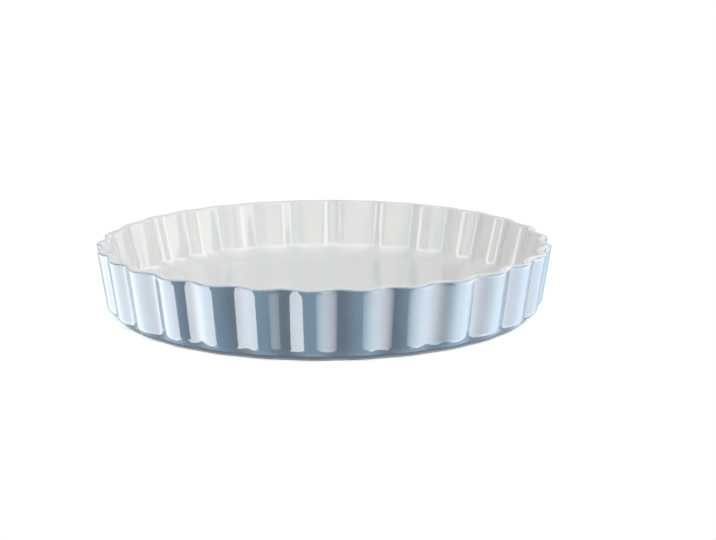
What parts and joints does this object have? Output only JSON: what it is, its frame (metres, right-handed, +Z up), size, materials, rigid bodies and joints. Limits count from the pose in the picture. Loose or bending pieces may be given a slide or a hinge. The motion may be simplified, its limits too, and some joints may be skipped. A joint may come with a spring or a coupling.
{
  "type": "baking dish",
  "caption": "Round shallow fluted stoneware dish for quiches and tarts, blue glaze outside, white glaze inside and over the rim, bare foot ring.",
  "frame": {"origin": "centre of the circle that the foot ring stands on, on the surface under the dish", "axes": "+Z up through the middle of the dish, -Y to the front, where one flute crest is centred, +X to the right seen from the front"},
  "size_m": [0.2784, 0.28, 0.0423],
  "materials": {
    "bare_clay": "matt unglazed fired clay, pale and slightly warm",
    "blue_glaze": "glossy pale grey-blue glaze",
    "white_glaze": "glossy white glaze"
  },
  "bodies": {
    "root": {"stoneware_body": "bare_clay", "outer_blue_glaze": "blue_glaze", "inner_white_glaze": "white_glaze", "underside_blue_glaze": "blue_glaze"}
  },
  "joints": []
}
